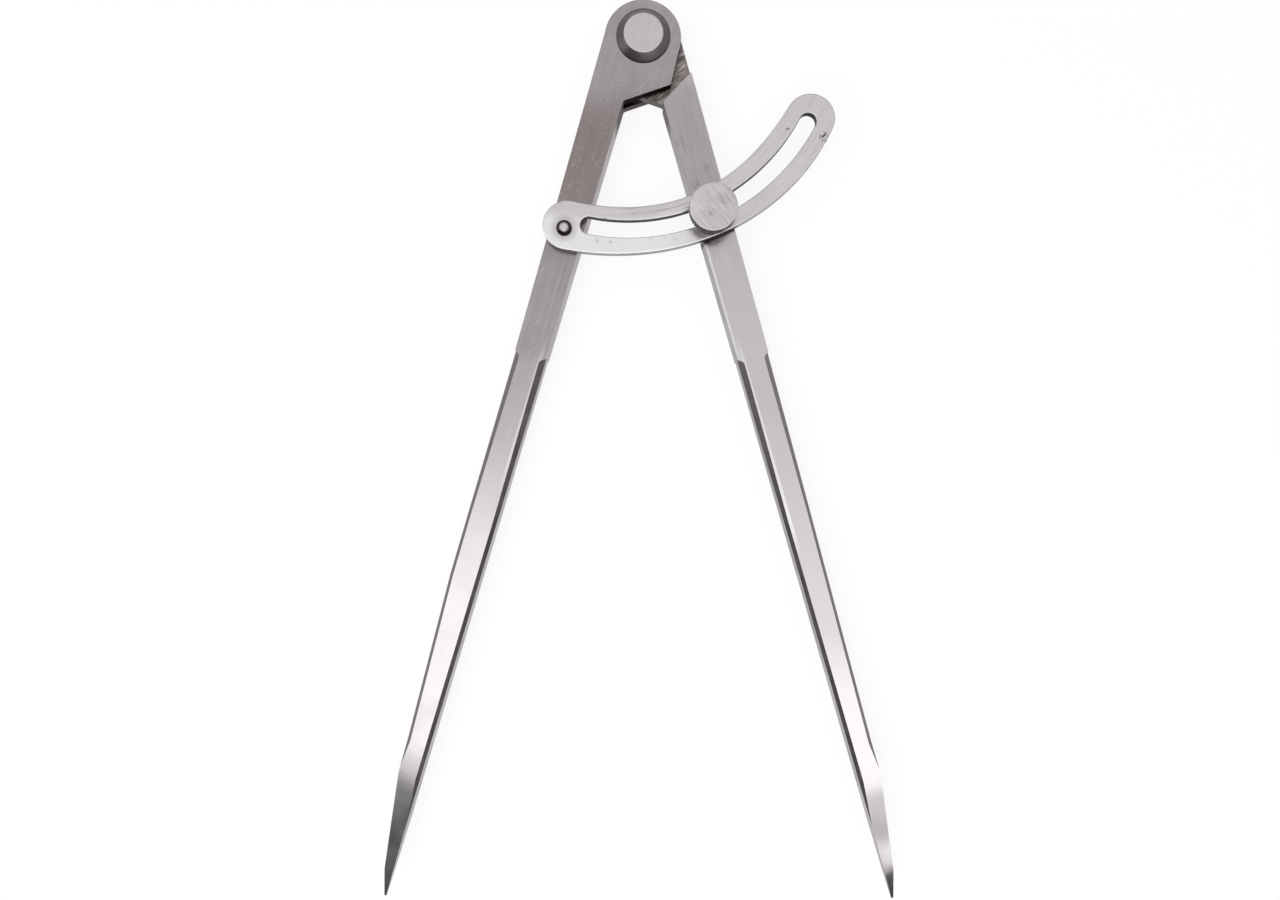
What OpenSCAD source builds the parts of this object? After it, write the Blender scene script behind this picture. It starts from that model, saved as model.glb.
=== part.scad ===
// Wing divider: two steel legs on a riveted fork joint, held at their setting by a slotted
// curved wing that is riveted to the left leg and clamped to the right leg by a thumb screw.
// The tool lies on its back, with its points along -Y and the thumb screw facing +Z.

/* [Legs] */
// Pivot axis to point, along each leg
leg_len = 250; // [235:1:290]
// Thickness of both legs
leg_t = 7.2; // [6.8:0.1:9]
// Angle of the left leg's inner edge from the middle line, at rest
left_angle = 16.72; // [14:0.01:20]
// Angle of the right leg's inner edge from the middle line, at rest
right_angle = 16.12; // [14:0.01:20]
// Distance from the middle line to each leg's inner edge, so that the closed legs clear
leg_gap = 0.2; // [0.15:0.05:0.4]
// Width of both legs where their chamfers start
leg_w = 8.75; // [8:0.05:10]
// Pivot axis to the start of the chamfers
chamfer_s = 94.3; // [85:0.1:120]
// Width of the chamfers along the front and back edges, at their start
chamfer = 1.5; // [0.8:0.05:1.8]
// Width that the chamfers narrow to
chamfer_narrow = 1; // [0.7:0.05:1.4]
// Length over which the chamfers narrow
narrow_len = 45; // [30:1:60]
// Pivot axis to the left leg's waist, where its taper steepens
waist_s = 158; // [140:1:180]
// Width of the left leg at its waist
left_waist_w = 8.3; // [7.8:0.05:8.5]

/* [Points] */
// Pivot axis to the heels, where the points start
heel_s = 214; // [205:1:222]
// Width of the left leg at its heel
left_heel_w = 6.1; // [5:0.05:7]
// Width of the right leg at its heel
right_heel_w = 6.15; // [5:0.05:7]
// Length over which the outer chamfers run out before the heel
fade_len = 8; // [6:1:16]
// Length of the blunter nose at each tip
nose_len = 8; // [5:0.5:12]
// Width of each point where its nose starts
nose_w = 2.5; // [1.8:0.1:3.5]
// Thickness of each point where its nose starts
nose_t = 2.9; // [1.8:0.1:4]
// Width of each tip
tip_w = 0.55; // [0.3:0.05:0.8]

/* [Fork joint] */
// Radius of the rounded head
head_r = 10.5; // [9.8:0.1:12]
// Distance from the pivot axis down to the centre of the rounded head
head_drop = 0.5; // [0:0.1:1]
// Thickness of each cheek of the fork
cheek_t = 2.3; // [2:0.1:2.8]
// Gap on each face of the tongue
tongue_gap = 0.05; // [0.02:0.01:0.1]
// How far the tongue's round end stays inside the cheeks
tongue_inset = 0.4; // [0.3:0.1:1]
// Pivot axis to the crotch, where the lobes and shoulders meet the inner edges
crotch_s = 18.6; // [17:0.1:22]
// Rise of the lobes' lower edge
lobe_angle = 35.5; // [32:0.5:40]
// Width of the lobes across the middle line
lobe_w = 11.1; // [10.6:0.1:12]
// Rise of the shoulders that the lobes close on
shoulder_angle = 30; // [26:0.5:32]
// Gap between lobes and shoulders when the legs are closed
shoulder_gap = 0.3; // [0.2:0.05:0.6]
// Fillet between a lobe and the inner edge of its leg
crotch_r = 1; // [0.6:0.1:1.5]

/* [Pivot rivet] */
// Diameter of the rivet's shank
pivot_d = 8; // [6:0.1:9]
// Diameter of the conical head and of the burr, against the cheeks
cone_d = 15; // [13:0.1:17]
// Diameter of the flat top of the head and of the burr
cone_top_d = 10.65; // [9.5:0.05:12]
// Height of the head and of the burr
cone_h = 1.8; // [1.2:0.1:2.4]
// Edge break around the flat top
cone_break = 0.2; // [0.1:0.05:0.3]

/* [Wing] */
// Thickness of the wing
wing_t = 2.3; // [1.8:0.1:3]
// Width of the wing
wing_w = 13.2; // [12:0.1:15]
// Radius of the wing's middle line
wing_r = 60.5; // [58:0.1:63]
// Wing rivet to the centre of the wing's first round end, to the right
wing_end_x = 0.76; // [0:0.01:1.2]
// Wing rivet to the centre of the wing's first round end, towards the head
wing_end_y = 0.67; // [0:0.01:1.2]
// Length from the end of the slot to the centre of the wing's free round end
wing_past = 1.2; // [0.4:0.1:3]
// Gap between the legs and the wing
wing_gap = 0.15; // [0.1:0.05:0.3]
// Pivot axis to the wing rivet, along the left leg
wing_rivet_s = 57.78; // [55:0.01:60]
// Middle line to the wing rivet, across the left leg
wing_rivet_w = 5.25; // [4:0.01:6]
// Diameter of the wing rivet's shank
wing_rivet_d = 2.9; // [2.4:0.1:3.5]
// Diameter of the wing rivet's domed head
wing_rivet_head_d = 4.3; // [3.9:0.1:6]
// Height of the wing rivet's domed head
wing_rivet_head_h = 1.3; // [0.8:0.1:1.8]
// Flat on top of the wing rivet's domed head
wing_rivet_flat_d = 1.6; // [0.8:0.1:2.2]
// Diameter of the wing rivet's countersunk foot
wing_rivet_foot_d = 4.4; // [3.9:0.1:5.4]

/* [Slot] */
// Width of the slot
slot_w = 4.6; // [4.4:0.1:5.2]
// How far the legs open from rest to the widest setting
open_more = 38; // [30:1:38]
// Turn of the wing for each degree that the legs open
wing_ratio = -0.07; // [-0.08:0.005:-0.06]
// How far the stud wanders to either side of the slot's middle line
slot_ease = 0.8; // [0.7:0.05:0.9]
// Gap that is left between the stud's neck and the slot
slot_gap = 0.1; // [0.08:0.01:0.2]
// Length of the slot past the stud when the legs are closed
slot_past_closed = 3.6; // [0.5:0.1:3.8]
// Length of the slot past the stud at the widest setting
slot_past_open = 0.3; // [0.2:0.1:1]

/* [Thumb screw] */
// Pivot axis to the stud, along the right leg
stud_s = 52.88; // [52:0.01:54]
// Middle line to the stud, across the right leg
stud_w = 4.16; // [3.8:0.01:5]
// Diameter of the threaded part of the stud
stud_d = 4; // [3.6:0.1:4.2]
// Depth of the stud's neck in the knob
stud_grip = 2.6; // [1.5:0.1:3.2]
// How far the thinner neck of the stud reaches into the leg
neck_reach = 1.4; // [1.2:0.1:2.5]
// How far the end of the stud stays inside the back of the leg
stud_inset = 0.5; // [0.2:0.1:1.5]
// Diameter of the knob
knob_d = 13; // [11:0.1:16]
// Thickness of the knob
knob_t = 4.3; // [3.8:0.1:6]
// Edge chamfer of the knob, which the knurl runs out into
knob_chamfer = 0.5; // [0.5:0.05:0.8]
// Number of teeth in the knob's straight knurl
knurl_count = 51; // [36:1:60]
// Depth of the knurl
knurl_depth = 0.35; // [0.2:0.05:0.4]
// Diameter of the washer under the knob
washer_d = 9.6; // [8:0.1:11]
// Thickness of the washer
washer_t = 1; // [0.6:0.1:1.6]

/* [Fits] */
// Running or tapped clearance around each shank, on the radius
shank_gap = 0.04; // [0.02:0.01:0.08]
// Gap between faces that are clamped and slide
face_gap = 0.05; // [0.03:0.01:0.1]
// How much fuller round ends are than the sides that they join, on the radius
end_full = 0.08; // [0.06:0.01:0.15]

/* [Hidden] */
$fn = 96;

steel = "#a9a6a4";
dark_steel = "#5f5b59";
bright_steel = "#cfcbca";

// Heights above the flat back of the burr
leg_z = cone_h;
front_z = leg_z + leg_t;
wing_z = front_z + wing_gap;
washer_z = wing_z + wing_t + face_gap;
knob_z = washer_z + washer_t;

// Fork layers, from the legs' back face
tongue_low = cheek_t + tongue_gap;
tongue_high = leg_t - cheek_t - tongue_gap;

// The foot of the wing rivet is a 45 degree cone
foot_h = (wing_rivet_foot_d - wing_rivet_d) / 2;

closing = left_angle + right_angle;
chamfer_depth = chamfer / sqrt(2);
narrow_depth = chamfer_narrow / sqrt(2);
// Cutters reach this far past what they cut, and slabs across a leg are this wide
past = 1;
wide = 6 * head_r;
fillet_steps = 6;
// A curved bar stops this far inside its round ends, whose seams are turned clear of its sides
end_lap = 0.3;
end_turn = 45;

function turned(v, a) = [v.x * cos(a) - v.y * sin(a), v.x * sin(a) + v.y * cos(a)];
function polar(r, a) = [r * cos(a), r * sin(a)];
function unit(v) = v / norm(v);

// Place of the wing rivet and of the stud, at rest
wing_rivet_at = turned([-wing_rivet_w, -wing_rivet_s], -left_angle);
stud_at = turned([stud_w, -stud_s], right_angle);

// Stud as the wing meets it when the legs have opened by an angle and the wing has turned,
// shifted away from the pivot axis
function stud_seen(open, shift) =
    let (q = wing_rivet_at + turned(turned(stud_at, open) - wing_rivet_at, -wing_ratio * open))
    q + shift * unit(q);

// Centre of the circle through three points
function circle_centre(a, b, c) =
    let (
        ab = b - a,
        ac = c - a,
        d = 2 * (ab.x * ac.y - ab.y * ac.x),
        p = ab * ab,
        q = ac * ac
    )
    a + [ac.y * p - ab.y * q, ab.x * q - ac.x * p] / d;

// The slot's middle line follows the stud's path, eased by what the slot's width allows
slot_closed = stud_seen(-closing, slot_ease);
slot_middle = stud_seen((open_more - closing) / 2, -slot_ease);
slot_open = stud_seen(open_more, slot_ease);
slot_centre = circle_centre(slot_closed, slot_middle, slot_open);
slot_r = norm(slot_closed - slot_centre);
neck_d = slot_w - 2 * (slot_ease + slot_gap);

function angle_about(centre, q) = atan2(q.y - centre.y, q.x - centre.x);
function arc_degrees(length, r) = length / r * 180 / PI;
slot_from = angle_about(slot_centre, slot_closed) - arc_degrees(slot_past_closed, slot_r);
slot_to = angle_about(slot_centre, slot_open) + arc_degrees(slot_past_open, slot_r);

// The wing's middle line runs in one curve between the centres of its round ends
wing_first = wing_rivet_at + [wing_end_x, wing_end_y];
wing_free = slot_centre + polar(slot_r, slot_to + arc_degrees(wing_past, slot_r));
wing_chord = wing_free - wing_first;
wing_rise = sqrt(wing_r * wing_r - wing_chord * wing_chord / 4);
wing_centre = (wing_first + wing_free) / 2 + wing_rise * unit([-wing_chord.y, wing_chord.x]);

// Curved bar of rectangular section with round ends, about a centre between two angles
module curved_bar(centre, r, w, h, from, to) {
    lap = arc_degrees(end_lap, r);
    translate(centre) {
        rotate([0, 0, from + lap]) rotate_extrude(angle = to - from - 2 * lap)
            translate([r - w / 2, 0]) square([w, h]);
        for (a = [from, to])
            translate(polar(r, a)) rotate([0, 0, a + end_turn])
                cylinder(r = w / 2 + end_full, h = h);
    }
}

// Outline of a leg and its lobe, below the round head, with the outward side along +X and the
// point along -Y; outer lists widths of the leg and their distances from the pivot axis
module leg_outline(r, outer) {
    nose_s = leg_len - nose_len;
    rise = tan(lobe_angle);
    centre = [0, -head_drop];
    corner = [-lobe_w, -crotch_s + lobe_w * rise];
    reach = corner - centre;
    touch = centre + polar(r, atan2(reach.y, reach.x) - acos(r / norm(reach)));
    run = crotch_r / tan((90 + lobe_angle) / 2);
    fillet_centre = [leg_gap - crotch_r, -crotch_s - leg_gap * rise - run];
    fillet = [for (i = [0 : fillet_steps])
        fillet_centre + polar(crotch_r, (90 - lobe_angle) * (1 - i / fillet_steps))];
    polygon(concat(
        [touch, corner],
        fillet,
        [[leg_gap, -leg_len], [leg_gap + tip_w, -leg_len], [leg_gap + nose_w, -nose_s]],
        [for (i = [len(outer) - 1 : -1 : 0]) [leg_gap + outer[i].x, -outer[i].y]],
        [[r, -head_drop]]
    ));
}

// Side view of a leg, which narrows from the heel to the tip, as a slab as wide as needed
module leg_side() {
    nose_s = leg_len - nose_len;
    low = (leg_t - nose_t) / 2;
    fall = low / (nose_s - heel_s);
    half = [
        [-wide, -past],
        [heel_s + past - past / fall, -past],
        [nose_s + past, low],
        [leg_len + past, (leg_t - tip_w) / 2],
    ];
    translate([wide / 2, 0, 0]) rotate([90, 0, -90]) linear_extrude(wide)
        polygon(concat(half, [for (i = [len(half) - 1 : -1 : 0]) [half[i].x, leg_t - half[i].y]]));
}

// Everything above a shoulder line that leaves the inner edge at the crotch
module above_shoulder() {
    drop = crotch_s + shoulder_gap;
    slope = tan(shoulder_angle);
    step = crotch_r / 2;
    polygon([
        [-wide, wide],
        [-wide, -drop - crotch_r],
        [leg_gap - crotch_r, -drop - crotch_r],
        [leg_gap + step, -drop + step * slope],
        [wide, -drop + (wide - leg_gap) * slope],
        [wide, wide],
    ]);
}

// Puts what cuts one edge, from plan point a to b at height z, with +Z out of the chamfer;
// out is 1 on the outer edge and -1 on the inner edge, up is 1 in front and -1 on the back
module on_edge(a, b, z, out, up) {
    translate([a.x, a.y, z]) rotate([0, 0, atan2(b.y - a.y, b.x - a.x)])
        rotate([-out * (90 - 45 * up), 0, 0]) children();
}

// Chamfer along an edge of a length, that narrows from its start on or goes on from another one,
// and fades out at the far end or runs past
module edge_chamfer(length, starts = true, fade = 0) {
    span = 4 * chamfer;
    even = 2 * chamfer_depth + past;
    end = length - past;
    near = starts
        ? [[past, span], [past, -chamfer_depth], [past + even, -chamfer_depth],
           [past + narrow_len, -narrow_depth]]
        : [[-past, span], [-past, -narrow_depth]];
    far = fade > 0
        ? [[end - fade, -narrow_depth], [end + fade, narrow_depth], [end + fade, span]]
        : [[length + past, -narrow_depth], [length + past, span]];
    translate([0, span / 2, 0]) rotate([90, 0, 0]) linear_extrude(span)
        polygon(concat(near, far));
}

// Round start of a chamfer, as a cutter leaves it
module chamfer_start(out, up) {
    translate([past, out * up * chamfer_depth, -chamfer_depth])
        cylinder(r = 2 * chamfer_depth + end_full, h = 4 * chamfer_depth);
}

// All chamfers of one leg, front and back
module leg_chamfers(outer) {
    inner_ends = [[leg_gap, -chamfer_s], [leg_gap, -leg_len]];
    last = len(outer) - 2;
    for (up = [-1, 1]) {
        z = up > 0 ? leg_t : 0;
        on_edge(inner_ends[0], inner_ends[1], z, -1, up) {
            edge_chamfer(leg_len - chamfer_s);
            chamfer_start(-1, up);
        }
        for (i = [0 : last]) {
            a = [leg_gap + outer[i].x, -outer[i].y];
            b = [leg_gap + outer[i + 1].x, -outer[i + 1].y];
            on_edge(a, b, z, 1, up) {
                edge_chamfer(norm(b - a), i == 0, i == last ? fade_len : 0);
                if (i == 0) chamfer_start(1, up);
            }
        }
    }
}

// Forged blank of a leg with its head and lobe, tapered and chamfered
module leg_blank(r, outer) {
    difference() {
        intersection() {
            union() {
                linear_extrude(leg_t) leg_outline(r, outer);
                translate([0, -head_drop, 0]) cylinder(r = r + end_full, h = leg_t);
            }
            leg_side();
        }
        leg_chamfers(outer);
    }
}

// Half section of the wing rivet's countersunk foot and shank, with a gap all round, from
// a lead below the back of the leg up to a height
function rivet_section(gap, lead, top) = [
    [0, leg_z - lead],
    [wing_rivet_foot_d / 2 + gap, leg_z - lead],
    [wing_rivet_foot_d / 2 + gap, leg_z],
    [wing_rivet_d / 2 + gap, leg_z + foot_h],
    [wing_rivet_d / 2 + gap, top],
    [0, top],
];

// Left leg: its head is a fork of two cheeks around the right leg's tongue
module left_leg() {
    color(steel) difference() {
        translate([0, 0, leg_z]) rotate([0, 0, -left_angle]) mirror([1, 0, 0]) difference() {
            leg_blank(head_r, [[leg_w, chamfer_s], [left_waist_w, waist_s], [left_heel_w, heel_s]]);
            translate([0, 0, cheek_t]) linear_extrude(leg_t - 2 * cheek_t) above_shoulder();
        }
        translate([0, 0, leg_z - past])
            cylinder(d = pivot_d + 2 * shank_gap, h = leg_t + 2 * past);
        translate([wing_rivet_at.x, wing_rivet_at.y, 0]) rotate_extrude()
            polygon(rivet_section(shank_gap, past, front_z + past));
    }
}

// Right leg: its head is a tongue, with a shoulder on each face for the lobes of the fork
module right_leg() {
    color(steel) difference() {
        translate([0, 0, leg_z]) rotate([0, 0, right_angle]) difference() {
            leg_blank(head_r - tongue_inset, [[leg_w, chamfer_s], [right_heel_w, heel_s]]);
            translate([0, 0, -past]) linear_extrude(tongue_low + past) above_shoulder();
            translate([0, 0, tongue_high]) linear_extrude(tongue_low + past) above_shoulder();
        }
        translate([0, 0, leg_z - past])
            cylinder(d = pivot_d + 2 * shank_gap, h = leg_t + 2 * past);
        translate([stud_at.x, stud_at.y, leg_z - past])
            cylinder(d = stud_d + 2 * shank_gap, h = leg_t + 2 * past);
    }
}

// Half section of the conical head and of the burr, from its wide face up
function cone_section(inner_r) = [
    [inner_r, 0],
    [cone_d / 2, 0],
    [cone_top_d / 2, cone_h - cone_break],
    [cone_top_d / 2 - cone_break, cone_h],
    [inner_r, cone_h],
];

// Pivot rivet: conical head on the front cheek, and a shank that ends flush with the burr
module pivot_rivet() {
    color(bright_steel) union() {
        cylinder(d = pivot_d, h = front_z + cone_break);
        translate([0, 0, front_z]) rotate_extrude() polygon(cone_section(0));
    }
}

// Pivot burr: conical washer on the back cheek that the rivet's shank is spread into
module pivot_burr() {
    color(dark_steel) translate([0, 0, leg_z]) mirror([0, 0, 1])
        rotate_extrude() polygon(cone_section(pivot_d / 2 + shank_gap));
}

// Wing: curved flat bar with the slot that the stud rides in
module wing() {
    wing_from = angle_about(wing_centre, wing_first);
    wing_to = angle_about(wing_centre, wing_free);
    color(bright_steel) translate([0, 0, wing_z]) difference() {
        curved_bar(wing_centre, wing_r, wing_w, wing_t, wing_from, wing_to);
        translate([0, 0, -past])
            curved_bar(slot_centre, slot_r, slot_w, wing_t + 2 * past, slot_from, slot_to);
        translate([wing_rivet_at.x, wing_rivet_at.y, -past])
            cylinder(d = wing_rivet_d + 2 * shank_gap, h = wing_t + 2 * past);
    }
}

// Wing rivet: domed head over the wing, shank through wing and leg, countersunk foot
module wing_rivet() {
    head_z = wing_z + wing_t + face_gap;
    side_h = wing_rivet_head_h / 3;
    color(dark_steel) translate([wing_rivet_at.x, wing_rivet_at.y, 0]) rotate_extrude() polygon([
        [0, leg_z],
        [wing_rivet_foot_d / 2, leg_z],
        [wing_rivet_d / 2, leg_z + foot_h],
        [wing_rivet_d / 2, head_z],
        [wing_rivet_head_d / 2, head_z],
        [wing_rivet_head_d / 2, head_z + side_h],
        [wing_rivet_flat_d / 2, head_z + wing_rivet_head_h],
        [0, head_z + wing_rivet_head_h],
    ]);
}

// Thumb knob: flat disc with a straight knurl around its rim and a blind hole for the stud
module thumb_knob() {
    rim = knob_d / 2;
    color(bright_steel) translate([stud_at.x, stud_at.y, knob_z]) difference() {
        rotate_extrude() polygon([
            [0, 0],
            [rim - knob_chamfer, 0],
            [rim, knob_chamfer],
            [rim, knob_t - knob_chamfer],
            [rim - knob_chamfer, knob_t],
            [0, knob_t],
        ]);
        for (i = [0 : knurl_count - 1])
            rotate([0, 0, i * 360 / knurl_count]) translate([rim - knurl_depth, 0, -past])
                rotate([0, 0, -45]) cube([knurl_depth * 2, knurl_depth * 2, knob_t + 2 * past]);
        translate([0, 0, -past]) cylinder(d = neck_d + 2 * shank_gap, h = stud_grip + past);
    }
}

// Clamp stud: threaded pin in the right leg, with a thinner neck through wing and washer
// into the knob
module clamp_stud() {
    thread_top = front_z - neck_reach;
    stud_end = leg_z + stud_inset;
    color(dark_steel) translate([stud_at.x, stud_at.y, 0]) union() {
        translate([0, 0, stud_end]) cylinder(d = stud_d, h = thread_top - stud_end);
        translate([0, 0, thread_top]) cylinder(d = neck_d, h = knob_z + stud_grip - thread_top);
    }
}

// Clamp washer: plain ring between knob and wing, held on the neck of the stud
module clamp_washer() {
    color(bright_steel) translate([stud_at.x, stud_at.y, washer_z]) difference() {
        cylinder(d = washer_d, h = washer_t - face_gap);
        translate([0, 0, -past]) cylinder(d = neck_d + 2 * shank_gap, h = washer_t + 2 * past);
    }
}

left_leg();
right_leg();
pivot_rivet();
pivot_burr();
wing();
wing_rivet();
thumb_knob();
clamp_stud();
clamp_washer();
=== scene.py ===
"""Wing divider of bare steel: two pointed legs on a riveted fork joint, a slotted curved wing
that is riveted to the left leg, and a knurled thumb screw that locks the right leg to it."""

import math

import bmesh
import bpy
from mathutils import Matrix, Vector


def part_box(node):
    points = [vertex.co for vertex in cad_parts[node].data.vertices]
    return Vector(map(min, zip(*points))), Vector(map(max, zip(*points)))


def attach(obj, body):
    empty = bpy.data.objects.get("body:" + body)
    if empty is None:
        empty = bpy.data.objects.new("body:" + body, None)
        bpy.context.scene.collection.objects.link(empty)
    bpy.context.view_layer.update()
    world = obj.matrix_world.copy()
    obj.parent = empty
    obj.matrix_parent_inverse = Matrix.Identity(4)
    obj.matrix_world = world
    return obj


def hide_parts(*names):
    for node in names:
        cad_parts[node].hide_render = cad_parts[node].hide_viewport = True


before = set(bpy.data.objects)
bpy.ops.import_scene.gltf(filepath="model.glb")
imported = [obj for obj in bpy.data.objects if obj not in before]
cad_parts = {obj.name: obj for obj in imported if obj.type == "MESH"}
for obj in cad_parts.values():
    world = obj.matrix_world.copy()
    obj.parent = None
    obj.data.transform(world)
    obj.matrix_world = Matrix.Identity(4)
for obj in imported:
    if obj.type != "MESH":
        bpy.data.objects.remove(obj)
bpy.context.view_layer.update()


# The two legs. Each is one piece of forged carbon steel, ground lengthwise on the flat faces, with
# milled chamfers from the middle down and a point that is drawn out from a heel. The left leg
# ends in a fork of two cheeks, the right leg in the tongue between them.

MM = 0.001

# Sizes in millimetres, the heel and the nose as lengths from the pivot
LEG_BACK = 1.8
LEG_FRONT = 9.0
LEG_EDGE = 0.2
LEG_EDGE_ANGLE = math.radians(20)
LEFT_TURN = math.radians(16.72)
RIGHT_TURN = math.radians(-16.12)
HEEL_S = 215
HEEL_ROUND = 7
HEEL_STEP = 2
NOSE_S = 243
NOSE_HALF = 1.45
TONGUE_FACES = (4.15, 6.65)

# A solid's round parts have faces shorter than these, and edges sharper than this angle stay sharp
ROUND_FACE = 2.6
ROUND_WALL = 8.5
SHARP_ANGLE = math.radians(32)

# How level a surface is, from 0 on a wall to 1 on a flat face
WALLS = (-1, 0.4)
CHAMFERS = (0.55, 0.85)
BROKEN_EDGES = (0.86, 0.98)
FLATS = (0.99, 1.1)

# Finish of the legs: width and length of the ground lines, and a place beyond the points
LEG_LINE = 0.8
LEG_LINE_LENGTH = 45
LEG_ROUGH = 0.24
PAST_POINT = -260

# Tarnish clouds and slanting scratches, in millimetres and radians. Real scratches are finer: they
# are drawn 0.45 mm wide so that they show.
CLOUD = 9
SCRATCH = 0.45
SCRATCH_LENGTH = 14
SCRATCH_SLANT = 0.55

# What a mask can measure by: the axes of the object, and those across and along the grain
MEASURES = {"x": ("in_mm", 0), "y": ("in_mm", 1), "z": ("in_mm", 2),
            "across": ("grain_mm", 0), "along": ("grain_mm", 1)}


def linear(hex_colour):
    """An sRGB hex colour as linear values with full alpha."""
    parts = [int(hex_colour[i:i + 2], 16) / 255 for i in (1, 3, 5)]
    return [p / 12.92 if p <= 0.04045 else ((p + 0.055) / 1.055) ** 2.4 for p in parts] + [1]


def add_node(tree, kind, inputs=None, **settings):
    """Adds a node with its settings; inputs are values, or sockets of other nodes to link."""
    made = tree.nodes.new(kind)
    for name, value in settings.items():
        setattr(made, name, value)
    for key, value in (inputs or {}).items():
        if isinstance(value, bpy.types.NodeSocket):
            tree.links.new(value, made.inputs[key])
        else:
            made.inputs[key].default_value = value
    return made


def marks(tree, place, width_mm, length_mm, detail, roughness=0.5):
    """A noise of marks with a width in millimetres, and a length along the second axis."""
    at = add_node(tree, "ShaderNodeVectorMath",
                  {0: place, 1: (1 / width_mm, 1 / length_mm, 1 / width_mm)},
                  operation="MULTIPLY").outputs[0]
    return add_node(tree, "ShaderNodeTexNoise",
                    {"Vector": at, "Scale": 1.0, "Detail": detail,
                     "Roughness": roughness}).outputs[0]


def ground_steel(name, light, dark, turn, line_mm, length_mm, rough, bend=None):
    """Bare ground steel: lines of a width and length in millimetres along a direction, turned from
    the Y axis or bent about a centre, fine scratches across them, and a cloudy tarnish. It gives
    the eye a satin shine with a grain. Returns its tree and the sockets that a piece needs to add
    its own wear before finish_steel."""
    material = bpy.data.materials.new(name)
    material.use_nodes = True
    tree = material.node_tree
    tree.nodes.clear()
    place = add_node(tree, "ShaderNodeTexCoord").outputs["Object"]
    in_mm = add_node(tree, "ShaderNodeVectorMath", {0: place, 1: (1 / MM, 1 / MM, 1 / MM)},
                     operation="MULTIPLY").outputs[0]
    grain_mm = add_node(tree, "ShaderNodeVectorRotate", {"Vector": in_mm, "Angle": turn},
                        rotation_type="Z_AXIS").outputs[0]
    if bend:
        about = add_node(tree, "ShaderNodeVectorMath", {0: in_mm, 1: bend},
                         operation="SUBTRACT").outputs[0]
        flat = add_node(tree, "ShaderNodeSeparateXYZ", {0: about}).outputs
        reach = add_node(tree, "ShaderNodeVectorMath", {0: about}, operation="LENGTH").outputs[1]
        angle = add_node(tree, "ShaderNodeMath", {0: flat[1], 1: flat[0]},
                         operation="ARCTAN2").outputs[0]
        arc = add_node(tree, "ShaderNodeMath", {0: angle, 1: reach},
                       operation="MULTIPLY").outputs[0]
        grain_mm = add_node(tree, "ShaderNodeCombineXYZ",
                            {0: reach, 1: arc, 2: flat[2]}).outputs[0]
    grain = marks(tree, grain_mm, line_mm, length_mm, 3.0, 0.6)
    cloud = marks(tree, in_mm, CLOUD, CLOUD, 4.0, 0.55)
    both = add_node(tree, "ShaderNodeMath", {0: grain, 1: cloud}, operation="ADD").outputs[0]
    share = add_node(tree, "ShaderNodeMapRange",
                     {"Value": both, "From Min": 0.72, "From Max": 1.28}).outputs[0]
    colour = add_node(tree, "ShaderNodeMix", {0: share, 6: linear(dark), 7: linear(light)},
                      data_type="RGBA").outputs[2]
    slant = add_node(tree, "ShaderNodeVectorRotate",
                     {"Vector": in_mm, "Angle": turn + SCRATCH_SLANT},
                     rotation_type="Z_AXIS").outputs[0]
    scratches = add_node(tree, "ShaderNodeMapRange",
                         {"Value": marks(tree, slant, SCRATCH, SCRATCH_LENGTH, 1.0),
                          "From Min": 0.70, "From Max": 0.78}).outputs[0]
    faint = add_node(tree, "ShaderNodeMath", {0: scratches, 1: 0.45},
                     operation="MULTIPLY").outputs[0]
    colour = add_node(tree, "ShaderNodeMix", {0: faint, 6: colour, 7: linear("#F2EEF0")},
                      data_type="RGBA").outputs[2]
    roughness = add_node(tree, "ShaderNodeMapRange",
                         {"Value": cloud, "From Min": 0.3, "From Max": 0.7,
                          "To Min": rough - 0.05, "To Max": rough + 0.07}).outputs[0]
    relief = add_node(tree, "ShaderNodeMath", {0: grain, 1: scratches},
                      operation="SUBTRACT").outputs[0]
    return {"material": material, "tree": tree, "in_mm": in_mm, "grain_mm": grain_mm,
            "grain": grain, "relief": relief, "colour": colour, "roughness": roughness}


def laid_over(steel, colour, *masks, rougher=0.0):
    """Lays a colour over the steel where all the masks are 1, or a share of it where one of them
    is a number, and makes the steel rougher there."""
    tree = steel["tree"]
    mask = masks[0]
    for more in masks[1:]:
        mask = add_node(tree, "ShaderNodeMath", {0: mask, 1: more},
                        operation="MULTIPLY").outputs[0]
    steel["colour"] = add_node(tree, "ShaderNodeMix",
                               {0: mask, 6: steel["colour"], 7: linear(colour)},
                               data_type="RGBA").outputs[2]
    if rougher:
        steel["roughness"] = add_node(tree, "ShaderNodeMath",
                                      {0: mask, 1: rougher, 2: steel["roughness"]},
                                      operation="MULTIPLY_ADD", use_clamp=True).outputs[0]


def finish_steel(steel, relief_mm=0.01, strength=0.35):
    """Joins colour, roughness and relief in one metal surface and returns the material."""
    tree = steel["tree"]
    bump = add_node(tree, "ShaderNodeBump",
                    {"Height": steel["relief"], "Strength": strength, "Distance": relief_mm * MM})
    surface = add_node(tree, "ShaderNodeBsdfPrincipled",
                       {"Base Color": steel["colour"], "Roughness": steel["roughness"],
                        "Metallic": 1.0, "Normal": bump.outputs[0]})
    add_node(tree, "ShaderNodeOutputMaterial", {"Surface": surface.outputs[0]})
    return steel["material"]


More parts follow.
